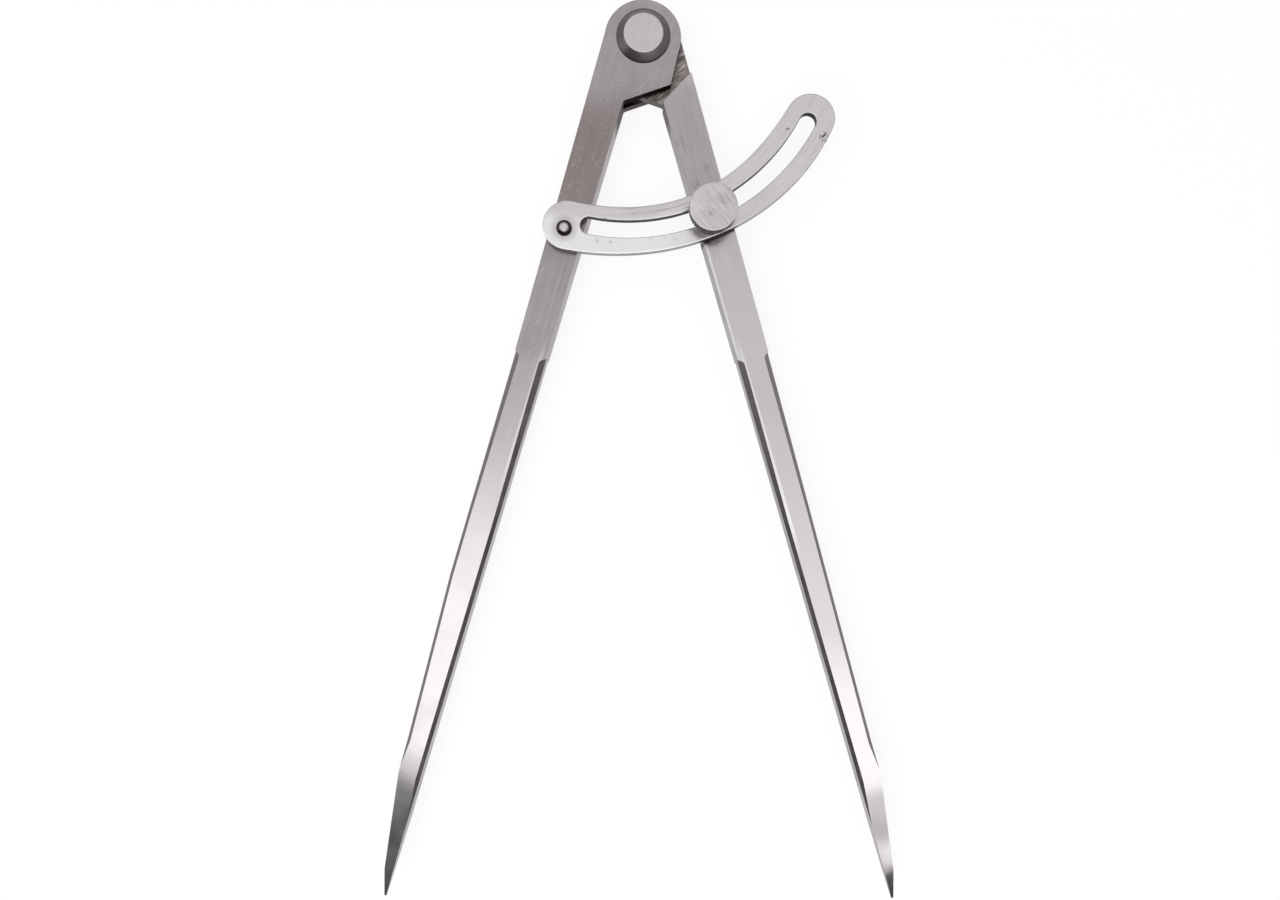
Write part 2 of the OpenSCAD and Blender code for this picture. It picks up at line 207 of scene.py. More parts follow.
def near(steel, measure, low, high, fade, ramp="SMOOTHSTEP"):
    """A mask that is 1 between two millimetre values and fades out over a length. It measures by a
    name of MEASURES or by the socket of a distance."""
    tree = steel["tree"]
    value = measure
    if isinstance(measure, str):
        place, axis = MEASURES[measure]
        value = add_node(tree, "ShaderNodeSeparateXYZ", {0: steel[place]}).outputs[axis]
    up = add_node(tree, "ShaderNodeMapRange",
                  {"Value": value, "From Min": low - fade, "From Max": low},
                  interpolation_type=ramp).outputs[0]
    down = add_node(tree, "ShaderNodeMapRange",
                    {"Value": value, "From Min": high, "From Max": high + fade,
                     "To Min": 1.0, "To Max": 0.0}, interpolation_type=ramp).outputs[0]
    return add_node(tree, "ShaderNodeMath", {0: up, 1: down}, operation="MULTIPLY").outputs[0]


def levelness(steel):
    """How level the surface is, 1 on a flat face and 0 on a wall."""
    tree = steel["tree"]
    normal = add_node(tree, "ShaderNodeNewGeometry").outputs["True Normal"]
    upright = add_node(tree, "ShaderNodeSeparateXYZ", {0: normal}).outputs[2]
    return add_node(tree, "ShaderNodeMath", {0: upright}, operation="ABSOLUTE").outputs[0]


def leaning(steel, flat, steep):
    """A mask that is 1 where the surface leans away from level."""
    return add_node(steel["tree"], "ShaderNodeMapRange",
                    {"Value": levelness(steel), "From Min": steep, "From Max": flat,
                     "To Min": 1.0, "To Max": 0.0}).outputs[0]


def sloping(steel, low, high):
    """A mask that is 1 on surfaces between two slopes, such as milled chamfers."""
    tree = steel["tree"]
    level = levelness(steel)
    above = add_node(tree, "ShaderNodeMath", {0: level, 1: low},
                     operation="GREATER_THAN").outputs[0]
    below = add_node(tree, "ShaderNodeMath", {0: level, 1: high},
                     operation="LESS_THAN").outputs[0]
    return add_node(tree, "ShaderNodeMath", {0: above, 1: below}, operation="MULTIPLY").outputs[0]


def rim(steel, inside, outside, low, high):
    """Masks of a painted highlight line on the flat face of a leg, between two distances across it
    and two along it, which fades out at both ends."""
    return (near(steel, "across", inside, outside, 0.3), near(steel, "along", low, high, 12),
            sloping(steel, *FLATS))


def spots(steel, height, size_mm, stretch, share, *places):
    """A mask of ragged specks of a size, stretched along the grain, on a face at a height, within a
    radius of places, each (x, y, radius) in millimetres."""
    tree = steel["tree"]
    noise = marks(tree, steel["grain_mm"], size_mm, size_mm * stretch, 3.0, 0.6)
    total = None
    for x, y, radius in places:
        away = add_node(tree, "ShaderNodeVectorMath",
                        {0: steel["in_mm"], 1: (x, y, height)}, operation="DISTANCE").outputs[1]
        close = add_node(tree, "ShaderNodeMapRange",
                         {"Value": away, "From Min": 0.3 * radius, "From Max": radius,
                          "To Min": 0.08, "To Max": -0.3}).outputs[0]
        total = close if total is None else add_node(
            tree, "ShaderNodeMath", {0: total, 1: close}, operation="MAXIMUM").outputs[0]
    raised = add_node(tree, "ShaderNodeMath", {0: noise, 1: total}, operation="ADD").outputs[0]
    return add_node(tree, "ShaderNodeMapRange",
                    {"Value": raised, "From Min": 0.56, "From Max": 0.64,
                     "To Max": share}).outputs[0]


def streaks(steel, width_mm, length_mm, low, high):
    """A mask of fine lines along the grain, where a noise passes between two levels."""
    noise = marks(steel["tree"], steel["grain_mm"], width_mm, length_mm, 2.0)
    return add_node(steel["tree"], "ShaderNodeMapRange",
                    {"Value": noise, "From Min": low, "From Max": high}).outputs[0]


def sides_with_painted_light(steel, walls, outside):
    """The sides of a leg, with painted shade: walls darker and duller than the front, darker near
    the joint, dark chamfers, darker still on the outside; and a painted highlight on the broken
    edges."""
    # Painted shade: the walls are darker than the front
    laid_over(steel, walls, sloping(steel, *WALLS), rougher=0.12)
    # Painted shade on the sides near the joint, between the cheeks and the tongue
    laid_over(steel, "#5B5350", leaning(steel, 0.6, 0.3), near(steel, "y", -22, -12, 5),
              rougher=0.25)
    # Painted shade on the chamfers, darker still on the outside
    laid_over(steel, "#9A9396", sloping(steel, *CHAMFERS), rougher=0.1)
    laid_over(steel, "#7A7376", sloping(steel, *CHAMFERS), near(steel, "across", *outside, 0.5))
    # Painted highlight on the broken edges
    laid_over(steel, "#F6F2F4", sloping(steel, *BROKEN_EDGES))


def drawn_point(shape, turn):
    """Rounds the heel of a leg, from which the point is drawn out thinner, over a length on either
    side, so that the light fades along it as on the forged leg."""
    axis = Vector((-math.sin(turn), -math.cos(turn), 0))
    middle = (LEG_BACK + LEG_FRONT) / 2
    half = (LEG_FRONT - LEG_BACK) / 2
    start = HEEL_S - HEEL_ROUND
    fall = (half - NOSE_HALF) / (NOSE_S - HEEL_S)
    for s in range(start, NOSE_S, HEEL_STEP):
        bmesh.ops.bisect_plane(shape, geom=shape.verts[:] + shape.edges[:] + shape.faces[:],
                               plane_co=axis * s * MM, plane_no=axis)
    for vertex in shape.verts:
        s = vertex.co.dot(axis) / MM
        into = s - start
        if 0 < into < 2 * HEEL_ROUND:
            before = half - max(0, s - HEEL_S) * fall
            after = half - fall * into * into / (4 * HEEL_ROUND)
            vertex.co.z = (middle + (vertex.co.z / MM - middle) * after / before) * MM
    for face in shape.faces:
        face.normal_update()
        below_heel = face.calc_center_median().dot(axis) / MM > start
        if below_heel and abs(face.normal.z) > 0.6:
            face.smooth = True


def merged_copy(node):
    """A copy of a solid's triangles, merged into one skin. Only its round parts, which have small
    faces, are shaded round; the flat faces stay flat."""
    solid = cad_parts[node].data
    shape = bmesh.new()
    corners = [shape.verts.new(vertex.co) for vertex in solid.vertices]
    for triangle in solid.polygons:
        shape.faces.new([corners[i] for i in triangle.vertices])
    bmesh.ops.remove_doubles(shape, verts=shape.verts, dist=1e-6)
    for face in shape.faces:
        face.normal_update()
        longest = max(edge.calc_length() for edge in face.edges) / MM
        wall = abs(face.normal.z) < 0.3
        face.smooth = longest < ROUND_FACE or longest < ROUND_WALL and wall
    return shape


def marked_mesh(name, shape):
    """A mesh from a shape, with its sharp edges marked so that round faces meet them cleanly."""
    shape.normal_update()
    for edge in shape.edges:
        edge.smooth = not edge.is_manifold or edge.calc_face_angle() < SHARP_ANGLE
    data = bpy.data.meshes.new(name)
    shape.to_mesh(data)
    shape.free()
    return data


def stand_in(name, data, body, node):
    """Makes a mesh a piece that stands for its solid and moves with its body."""
    made = bpy.data.objects.new(name, data)
    bpy.context.scene.collection.objects.link(made)
    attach(made, body)
    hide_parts(node)
    return made


def piece(name, shape, body, node, slot, *materials):
    """Makes a shape a piece with its finishes."""
    data = marked_mesh(name, shape)
    for material in materials:
        data.materials.append(material)
    return stand_in(name, data, body, node)


def eased_edges(made, width_mm, angle):
    """Breaks the sharp edges of a piece, as a stone or wear does, so that they catch the light."""
    bevel = made.modifiers.new("eased_edges", "BEVEL")
    bevel.width = width_mm * MM
    bevel.segments = 3
    bevel.limit_method = "ANGLE"
    bevel.angle_limit = angle
    bevel.use_clamp_overlap = True
    bevel.miter_outer = "MITER_ARC"


# Forged carbon steel, ground: long grey lines and a satin shine, browner towards the head
left_steel = ground_steel("forged_steel_ground_left", "#BBB4B7", "#ABA4A7", LEFT_TURN,
                          LEG_LINE, LEG_LINE_LENGTH, LEG_ROUGH)
# The lower half is painted brighter as a painted reflection, more and more towards the heel
laid_over(left_steel, "#EAE5E8", near(left_steel, "along", PAST_POINT, -98, 8), 0.22)
laid_over(left_steel, "#EAE5E8", near(left_steel, "along", PAST_POINT, -170, 72), rougher=-0.05)
# Brownish tarnish between the fork and the wing, in streaks along the grain
tarnish = add_node(left_steel["tree"], "ShaderNodeMapRange",
                   {"Value": left_steel["grain"], "From Min": 0.2, "From Max": 0.8,
                    "To Min": 0.3, "To Max": 0.8}).outputs[0]
laid_over(left_steel, "#82726C", tarnish, near(left_steel, "y", -50, -26, 18), rougher=0.04)
# Short light scratches and nicks on the fork and above the wing
laid_over(left_steel, "#E6E1E4", near(left_steel, "y", -46, -8, 6),
          streaks(left_steel, 0.35, 7, 0.66, 0.76), 0.5)
laid_over(left_steel, "#DAD4D6", near(left_steel, "y", -46, -12, 6),
          streaks(left_steel, 1.2, 0.35, 0.62, 0.74), 0.5)
# The sides, with painted shade and a painted highlight
sides_with_painted_light(left_steel, "#A39C9F", (-20, -5))
# A painted highlight on the face beside the start of the inner chamfer
laid_over(left_steel, "#FFFFFF", *rim(left_steel, -2.0, -1.2, -122, -98), 0.42)
# Painted shadow in the gap along the fork's edge, and painted shade on the end of the front cheek
laid_over(left_steel, "#2F2927", sloping(left_steel, -1, 0.985), near(left_steel, "y", -17, 1, 2),
          near(left_steel, "x", 5.5, 12, 1), rougher=0.25)
laid_over(left_steel, "#2F2927", sloping(left_steel, -1, 0.8),
          near(left_steel, "y", -18.4, -10, 1), near(left_steel, "z", 6.6, 9.5, 0.1),
          near(left_steel, "x", -5, 12, 0.8), rougher=0.25)
# The point is darker
laid_over(left_steel, "#777073", near(left_steel, "along", PAST_POINT, -226, 14), 0.4)

left_shape = merged_copy("left_leg")
drawn_point(left_shape, LEFT_TURN)
left = piece("left_leg_forged", left_shape, "left_leg", "left_leg", "leg_steel",
             finish_steel(left_steel))
eased_edges(left, LEG_EDGE, LEG_EDGE_ANGLE)

# The same steel, painted paler than the left leg as painted light, with stains above the wing
right_steel = ground_steel("forged_steel_ground_right", "#D4CDD1", "#C3BCC0", RIGHT_TURN,
                           LEG_LINE, LEG_LINE_LENGTH, LEG_ROUGH)
# It is painted brighter below the wing as a painted reflection, most of all above the heel
laid_over(right_steel, "#D9D3D7", near(right_steel, "along", PAST_POINT, -90, 45), rougher=-0.05)
laid_over(right_steel, "#EAE4E8", near(right_steel, "along", PAST_POINT, -191, 21), rougher=-0.03)
# The sides, with painted shade and a painted highlight
sides_with_painted_light(right_steel, "#857E81", (5, 20))
# Painted highlights on the face beside the start of the inner chamfer, and along the edge above it
laid_over(right_steel, "#FFFFFF", *rim(right_steel, 1.2, 2.0, -140, -98), 0.75)
laid_over(right_steel, "#FFFFFF", *rim(right_steel, 0.2, 0.7, -88, -58), 0.6)
# The point is darker in two bands, and the part above the wing is duller
laid_over(right_steel, "#A09A9D", near(right_steel, "along", -230, -221, 6), 0.65)
laid_over(right_steel, "#6A6366", near(right_steel, "along", PAST_POINT, -244, 6), 0.75,
          rougher=0.05)
laid_over(right_steel, "#9C9598", near(right_steel, "y", -46, -16, 6), 0.38)
# Stains between the shoulder and the knob, in streaks and specks
laid_over(right_steel, "#8F888B", near(right_steel, "y", -46, -22, 4),
          streaks(right_steel, 0.5, 14, 0.58, 0.7), 0.6, rougher=0.1)
laid_over(right_steel, "#7E7677",
          spots(right_steel, LEG_FRONT, 0.5, 1.6, 0.4, (9.2, -30, 3), (14.5, -41, 3.5),
                (17.5, -36, 3)), rougher=0.1)
# A bruise below the wing, where the screw was overtightened, and a painted shadow along the wing's
# edge
WING_CENTRE = Vector((-7.449, 5.831))
laid_over(right_steel, "#5D5554",
          spots(right_steel, LEG_FRONT, 0.6, 1.5, 0.8, (17.7, -57.1, 1.8)), rougher=0.1)
# Painted shadow: a dark line on the leg's face just outside the wing's edge
from_wing_centre = add_node(right_steel["tree"], "ShaderNodeVectorMath",
                            {0: right_steel["in_mm"], 1: (*WING_CENTRE, LEG_FRONT)},
                            operation="DISTANCE").outputs[1]
laid_over(right_steel, "#2F292A", near(right_steel, from_wing_centre, 66.9, 67.7, 0.5, "LINEAR"),
          0.85, rougher=0.2)

# The same steel, left as filed on the tongue: slanting brownish marks, drawn 0.45 mm wide, with
# light ridges of 0.28 mm between them, both coarser than real so that they show
filed = ground_steel("forged_steel_filed", "#A39894", "#3A322F", math.radians(55),
                     line_mm=0.45, length_mm=4, rough=0.4)
laid_over(filed, "#D6CDCA", streaks(filed, 0.28, 3, 0.53, 0.62), 0.7)

right_shape = merged_copy("right_leg")
drawn_point(right_shape, RIGHT_TURN)
for face in right_shape.faces:
    height = face.calc_center_median().z / MM
    if abs(face.normal.z) > 0.9 and min(abs(height - z) for z in TONGUE_FACES) < 0.05:
        face.material_index = 1
right = piece("right_leg_forged", right_shape, "right_leg", "right_leg", "leg_steel",
              finish_steel(right_steel), finish_steel(filed, 0.05))
eased_edges(right, LEG_EDGE, LEG_EDGE_ANGLE)


# The pivot rivet. Turned steel with a flat-topped conical head; its flat is polished by handling
# and its cone is painted dark as painted shade. The shank goes through both cheeks and the tongue.

PIVOT_R = 4.0
PIVOT_FOOT = 0.05
PIVOT_ROUND = 0.22
CONE_R = 7.5
CONE_TOP_R = 5.325
CONE_H = 1.8
CONE_RIM = 0.25


def rounded(line, ease_mm, steps=3):
    """The corners of a half section, each rounded off over a length."""
    points = [Vector(p) for p in line]
    out = [points[0]]
    for before, corner, after in zip(points, points[1:], points[2:]):
        back, ahead = before - corner, after - corner
        start = corner + back.normalized() * min(ease_mm, back.length * 0.45)
        end = corner + ahead.normalized() * min(ease_mm, ahead.length * 0.45)
        for i in range(steps + 1):
            t = i / steps
            out.append(start * (1 - t) ** 2 + corner * 2 * t * (1 - t) + end * t ** 2)
    return out + [points[-1]]


def circle(at, radius, steps):
    """The points of a circle."""
    angles = [2 * math.pi * i / steps for i in range(steps)]
    return [Vector((at[0] + radius * math.cos(a), at[1] + radius * math.sin(a))) for a in angles]


def ring_at(shape, points, z):
    """A ring of a shape's vertices, from points and a height in millimetres."""
    return [shape.verts.new(Vector((p.x, p.y, z)) * MM) for p in points]


def skin(shape, low, high):
    """Round faces between two rings of vertices, one of which may be a single tip."""
    steps = max(len(low), len(high))
    for i in range(steps):
        j = (i + 1) % steps
        corners = [low[i % len(low)], low[j % len(low)], high[j % len(high)], high[i % len(high)]]
        corners = list(dict.fromkeys(corners))
        if len(corners) > 2:
            shape.faces.new(corners).smooth = True


def turned(line, at=(0, 0), steps=96):
    """A mesh turned about an upright axis from a half section in millimetres; a section that
    starts off the axis is a ring and comes back to its start."""
    shape = bmesh.new()
    rings = [ring_at(shape, circle(at, r, steps) if r > 1e-6 else [Vector(at)], z)
             for r, z in line]
    if line[0][0] > 1e-6:
        rings.append(rings[0])
    for low, high in zip(rings, rings[1:]):
        skin(shape, low, high)
    bmesh.ops.recalc_face_normals(shape, faces=shape.faces)
    return shape


# Turned steel, polished by handling: a smooth pale flat, on a cone painted dull grey as painted
# shade
pivot_steel = ground_steel("turned_steel_polished", "#E2DCDF", "#D2CCCF", 0.4,
                           line_mm=0.6, length_mm=12, rough=0.27)
laid_over(pivot_steel, "#6C6567", leaning(pivot_steel, 0.93, 0.8), rougher=0.1)
piece("pivot_rivet_turned",
      turned(rounded([(0, PIVOT_FOOT), (PIVOT_R, PIVOT_FOOT), (PIVOT_R, LEG_FRONT),
                      (CONE_R, LEG_FRONT), (CONE_R, LEG_FRONT + CONE_RIM),
                      (CONE_TOP_R, LEG_FRONT + CONE_H), (0, LEG_FRONT + CONE_H)], PIVOT_ROUND)),
      "left_leg", "pivot_rivet", "bright_steel", finish_steel(pivot_steel))


# The pivot burr. A conical steel washer on the back cheek; the end of the rivet is spread
# into it, which leaves a hammered ring.

BURR_BORE = PIVOT_R + 0.04
BURR_FLARE = 0.3
BURR_ROUND = 0.2

# Turned steel, dulled: an even mid grey with a weak shine
burr_steel = ground_steel("turned_steel_dulled", "#A8A2A5", "#878184", 1.1,
                          line_mm=0.6, length_mm=8, rough=0.36)
piece("pivot_burr_turned",
      turned(rounded([(BURR_BORE, LEG_BACK), (CONE_R, LEG_BACK), (CONE_R, LEG_BACK - CONE_RIM),
                      (CONE_TOP_R, 0), (PIVOT_R + BURR_FLARE, 0), (BURR_BORE, BURR_FLARE)],
                     BURR_ROUND)
             + [Vector((BURR_BORE, LEG_BACK - 0.1))]),
      "left_leg", "pivot_burr", "dark_steel", finish_steel(burr_steel))


# The wing. A curved flat bar sawn by hand from steel sheet, so that its edges wander off true arcs,
# with a milled slot and rounded ends, draw-filed along its curve. It is riveted to the left leg.

WING_LOW = 9.15
WING_HIGH = 11.45
WING_R = 60.5
WING_HALF = 6.6
WING_SPAN = (-102.84, -29.12)
OUTER_WANDER = (-0.01, -4.18, 14.87, -10.24)
INNER_WANDER = (-0.33, -1.43, 22.51, -42.51, 21.89)
SLOT_CENTRE = Vector((-4.235, 1.689))
SLOT_R = 55.792
SLOT_HALF = 2.3
SLOT_SPAN = (-101.13, -28.20)
WING_RIVET_AT = (-21.651, -53.827)
WING_RIVET_R = 1.45
WING_RIVET_GAP = 0.04
RIVET_HOLE_STEPS = 48
# How far the edge is set in at each height, from the face to the wall
WING_EDGE = ((0.45, 0), (0.17, 0.05), (0.06, 0.13), (0.015, 0.21), (0, 0.3))


def bar_loop(centre, radius, half, span, out, outer=(0,), inner=(0,), steps=90, cap=24):
    """The outline of a curved bar with round ends, let out or taken in by a length. Its two edges
    wander off true arcs by millimetres that are polynomials of the share of its length."""
    first, last = (math.radians(a) for a in span)

    def ray(a, r):
        return Vector((math.cos(a), math.sin(a))) * r

    def side(share, sign):
        terms = outer if sign > 0 else inner
        off = sum(term * share ** power for power, term in enumerate(terms))
        return radius + off + sign * (half + out)

    def along(share, r):
        return centre + ray(first + (last - first) * share, r)

    def end(share, start):
        middle = (side(share, 1) + side(share, -1)) / 2
        size = (side(share, 1) - side(share, -1)) / 2
        return [along(share, middle) + ray(start + math.pi * i / cap, size)
                for i in range(1, cap)]

    shares = [i / steps for i in range(steps + 1)]
    points = [along(share, side(share, 1)) for share in shares] + end(1, last)
    points += [along(share, side(share, -1)) for share in reversed(shares)]
    return points + end(0, first + math.pi)


wing_shape = bmesh.new()
levels = [(inset, WING_LOW + rise) for inset, rise in WING_EDGE]
levels += [(inset, WING_HIGH - fall) for inset, fall in reversed(WING_EDGE)]
faces_round = ([], [])
for loop_of in (lambda inset: bar_loop(WING_CENTRE, WING_R, WING_HALF, WING_SPAN, -inset,
                                       OUTER_WANDER, INNER_WANDER),
                lambda inset: bar_loop(SLOT_CENTRE, SLOT_R, SLOT_HALF, SLOT_SPAN, inset),
                lambda inset: circle(WING_RIVET_AT, WING_RIVET_R + WING_RIVET_GAP + inset,
                                     RIVET_HOLE_STEPS)):
    rings = [ring_at(wing_shape, loop_of(inset), z) for inset, z in levels]
    for low, high in zip(rings, rings[1:]):
        skin(wing_shape, low, high)
    for edges, ring in zip(faces_round, (rings[0], rings[-1])):
        edges += [wing_shape.edges.get((ring[i], ring[(i + 1) % len(ring)]))
                  for i in range(len(ring))]
for edges in faces_round:
    bmesh.ops.triangle_fill(wing_shape, edges=edges, use_beauty=True)
bmesh.ops.recalc_face_normals(wing_shape, faces=wing_shape.faces)

# Sheet steel, draw-filed: pale, with fine arcs along the bar
wing_steel = ground_steel("sheet_steel_draw_filed", "#EAE5E8", "#D9D3D6", 0.0,
                          line_mm=0.8, length_mm=16, rough=0.28, bend=(*WING_CENTRE, WING_HIGH))
# The lower band of the riveted half is brighter
laid_over(wing_steel, "#FDFBFC", near(wing_steel, "x", -40, 2, 22),
          near(wing_steel, "across", 61, 80, 5), rougher=-0.03)
# Rust specks on the free end, and scratches and smudges beside the slot
laid_over(wing_steel, "#5A4F4E",
          spots(wing_steel, WING_HIGH, 0.6, 1.3, 0.9, (49.3, -28.9, 3.4), (39.4, -26.8, 1.4)),
          rougher=0.15)
laid_over(wing_steel, "#8A8083", near(wing_steel, "x", -2, 14, 6),
          near(wing_steel, "across", 54.4, 57.4, 0.4),
          streaks(wing_steel, 0.4, 18, 0.57, 0.68), rougher=0.1)
laid_over(wing_steel, "#7F7578",
          spots(wing_steel, WING_HIGH, 0.3, 2.5, 0.5, (-10.5, -51.4, 1.7), (-12.6, -57.2, 1.5),
                (-9.2, -57.7, 1.5), (2, -56.8, 1.1), (6, -56.5, 1.1), (8.6, -56.6, 1.1)),
          rougher=0.1)
# A soft darker patch round the rivet
from_rivet = add_node(wing_steel["tree"], "ShaderNodeVectorMath",
                      {0: wing_steel["in_mm"], 1: (*WING_RIVET_AT, WING_HIGH)},
                      operation="DISTANCE").outputs[1]
laid_over(wing_steel, "#8A8283", near(wing_steel, from_rivet, 0, 2.0, 2.6), 0.4, rougher=0.05)
# The sawn outside is duller and painted grey as painted shade, the milled walls of the slot are
# painted dark as painted shade, and the outside is painted darker still where it stands over the
# right leg
laid_over(wing_steel, "#8B8588", leaning(wing_steel, 0.5, 0.2), rougher=0.1)
laid_over(wing_steel, "#242022", leaning(wing_steel, 0.6, 0.3),
          near(wing_steel, "across", 56.4, 64, 0.3), rougher=0.1)
# Painted shade on the outside where it stands over the right leg
laid_over(wing_steel, "#3B3436", leaning(wing_steel, 0.6, 0.3),
          near(wing_steel, "x", 16, 25.5, 0.5), near(wing_steel, "across", 65.5, 70, 0.3),
          rougher=0.15)
piece("wing_bar", wing_shape, "wing", "wing", "bright_steel", finish_steel(wing_steel))


# The wing rivet. A small steel rivet with a domed head, peened by hand, whose foot is filed flush
# in a countersink on the back of the left leg.

HEAD_LOW = 11.5
HEAD_R = 2.15
HEAD_FOOT_R = 2.1
HEAD_RIM = 0.15
HEAD_DOME = 1.1
HEAD_TOP_R = 0.8
FOOT_Z = LEG_BACK + 0.02
FOOT_R = 2.2
FOOT_DEPTH = 0.75
RIVET_STEPS = 48

# Peened steel: a painted highlight on top of the dome and a ring of painted shade round it
rivet_steel = ground_steel("rivet_steel_peened", "#F4F0F2", "#C8C0C2", 0.2,
                           line_mm=0.5, length_mm=2, rough=0.25)
laid_over(rivet_steel, "#4A4345", leaning(rivet_steel, 0.985, 0.92), rougher=0.05)
dome = [(HEAD_R * math.cos(math.radians(a)),
         HEAD_LOW + HEAD_RIM + HEAD_DOME * math.sin(math.radians(a))) for a in range(0, 90, 9)]
head_top = HEAD_LOW + HEAD_RIM + HEAD_DOME
piece("wing_rivet_peened",
      turned([(0, FOOT_Z), (FOOT_R, FOOT_Z), (WING_RIVET_R, LEG_BACK + FOOT_DEPTH),
              (WING_RIVET_R, HEAD_LOW), (HEAD_FOOT_R, HEAD_LOW)] + dome
             + [(HEAD_TOP_R, head_top - 0.01), (0, head_top)], WING_RIVET_AT, RIVET_STEPS),
      "left_leg", "wing_rivet", "dark_steel", finish_steel(rivet_steel))


# The clamp washer. A plain steel washer, punched from sheet, that lies between the knob and the
# wing and rises with the screw.

STUD_AT = (18.6786, -49.6459)
WASHER_BORE = 2.04
WASHER_R = 4.8
WASHER_LOW = 11.5
WASHER_SEAM = 12.0
WASHER_HIGH = 12.45
WASHER_ROUND = 0.12

# Punched steel: a plain pale grey with short lines
washer_steel = ground_steel("punched_steel", "#CDC7CA", "#B4AEB1", 0.9,
                            line_mm=0.6, length_mm=6, rough=0.33)
piece("clamp_washer_punched",
      turned(rounded([(WASHER_BORE, WASHER_SEAM), (WASHER_BORE, WASHER_LOW),
                      (WASHER_R, WASHER_LOW), (WASHER_R, WASHER_HIGH),
                      (WASHER_BORE, WASHER_HIGH), (WASHER_BORE, WASHER_SEAM)],
                     WASHER_ROUND)[:-1], STUD_AT),
      "clamp_washer", "clamp_washer", "bright_steel", finish_steel(washer_steel))


# The thumb knob. A turned steel disc with a straight knurl of pressed ridges round its rim and
# broken edges above and below it; its top is faced and scratched.

KNOB_LOW = 12.5
KNOB_HIGH = 16.8
KNOB_R = 6.5
KNOB_BREAK = 0.5
KNOB_FOOT_BREAK = KNOB_BREAK * 0.4
KNOB_ROUND = 0.1
KNOB_STEPS = 102
COLLAR_R = KNOB_R - 0.02
KNURL_COUNT = 51
KNURL_ROOT_R = KNOB_R - 0.35
RIDGE_R = 0.46
RIDGE_END_SHARE = 0.3

# Turned and knurled steel: a pale faced top with slanting scratches over a dark, ridged rim
knob_steel = ground_steel("turned_steel_knurled", "#EAE5E8", "#C3BCBF", math.radians(-38),
                          line_mm=0.6, length_mm=9, rough=0.28)
laid_over(knob_steel, "#9A9295",
          spots(knob_steel, KNOB_HIGH, 0.3, 14, 0.5, (17.0, -51.0, 4.5), (20.8, -47.5, 4.0)))
# The knurl is dark, and the tops of its ridges carry a painted highlight
laid_over(knob_steel, "#161314", leaning(knob_steel, 0.6, 0.3), rougher=0.05)
beside = add_node(knob_steel["tree"], "ShaderNodeVectorMath",
                  {0: knob_steel["in_mm"], 1: (1, 1, 0)}, operation="MULTIPLY").outputs[0]
from_axis = add_node(knob_steel["tree"], "ShaderNodeVectorMath", {0: beside, 1: (*STUD_AT, 0)},
                     operation="DISTANCE").outputs[1]
laid_over(knob_steel, "#A8A1A4",
          near(knob_steel, from_axis, KNOB_R, KNOB_R + 1, 0.1, "LINEAR"),
          leaning(knob_steel, 0.6, 0.3))

core_shape = turned(rounded([(0, KNOB_LOW), (KNURL_ROOT_R - KNOB_FOOT_BREAK, KNOB_LOW),
                             (KNURL_ROOT_R, KNOB_LOW + KNOB_FOOT_BREAK),
                             (KNURL_ROOT_R, KNOB_HIGH - KNOB_BREAK),
                             (COLLAR_R, KNOB_HIGH - KNOB_BREAK + 0.05),
                             (COLLAR_R, KNOB_HIGH - 0.22),
                             (KNOB_R - 0.12, KNOB_HIGH - 0.08),
                             (KNOB_R - 0.65, KNOB_HIGH),
                             (0, KNOB_HIGH)], KNOB_ROUND), STUD_AT, KNOB_STEPS)

# One three-sided ridge with tapered ends, set round the core as often as the knurl has ridges
ridges = bpy.data.node_groups.new("knurl_ridges", "GeometryNodeTree")
sizes = {"Ridges": KNURL_COUNT, "Ring Radius": (KNOB_R - RIDGE_R) * MM,
         "Ridge Radius": RIDGE_R * MM,
         "Ridge Height": (KNOB_HIGH - KNOB_LOW - 2 * KNOB_BREAK) * MM,
         "Ridge End": KNOB_BREAK * 0.7 * MM,
         "Centre": (STUD_AT[0] * MM, STUD_AT[1] * MM, (KNOB_LOW + KNOB_HIGH) / 2 * MM),
         "Finish": finish_steel(knob_steel, 0.02)}
kinds = {int: "NodeSocketInt", float: "NodeSocketFloat", tuple: "NodeSocketVector",
         bpy.types.Material: "NodeSocketMaterial"}
ridges.interface.new_socket("Geometry", in_out="INPUT", socket_type="NodeSocketGeometry")
for name, value in sizes.items():
    ridges.interface.new_socket(name, in_out="INPUT", socket_type=kinds[type(value)])
ridges.interface.new_socket("Geometry", in_out="OUTPUT", socket_type="NodeSocketGeometry")
given = add_node(ridges, "NodeGroupInput").outputs
ring = add_node(ridges, "GeometryNodeMeshCircle",
                {"Vertices": given["Ridges"], "Radius": given["Ring Radius"]}).outputs[0]
shank = add_node(ridges, "GeometryNodeMeshCylinder",
                 {"Vertices": 3, "Radius": given["Ridge Radius"], "Depth": given["Ridge Height"]})
end_r = add_node(ridges, "ShaderNodeMath", {0: given["Ridge Radius"], 1: RIDGE_END_SHARE},
                 operation="MULTIPLY").outputs[0]
tip = add_node(ridges, "GeometryNodeMeshCone",
               {"Vertices": 3, "Radius Bottom": given["Ridge Radius"], "Radius Top": end_r,
                "Depth": given["Ridge End"]}).outputs[0]
half = add_node(ridges, "ShaderNodeMath", {0: given["Ridge Height"], 1: 0.5},
                operation="MULTIPLY").outputs[0]
up = add_node(ridges, "ShaderNodeCombineXYZ", {2: half}).outputs[0]
top = add_node(ridges, "GeometryNodeTransform", {"Geometry": tip, "Translation": up}).outputs[0]
down = add_node(ridges, "ShaderNodeVectorMath", {0: up, 1: (-1, -1, -1)},
                operation="MULTIPLY").outputs[0]
foot = add_node(ridges, "GeometryNodeTransform",
                {"Geometry": tip, "Translation": down, "Rotation": (math.pi, 0, 0)}).outputs[0]
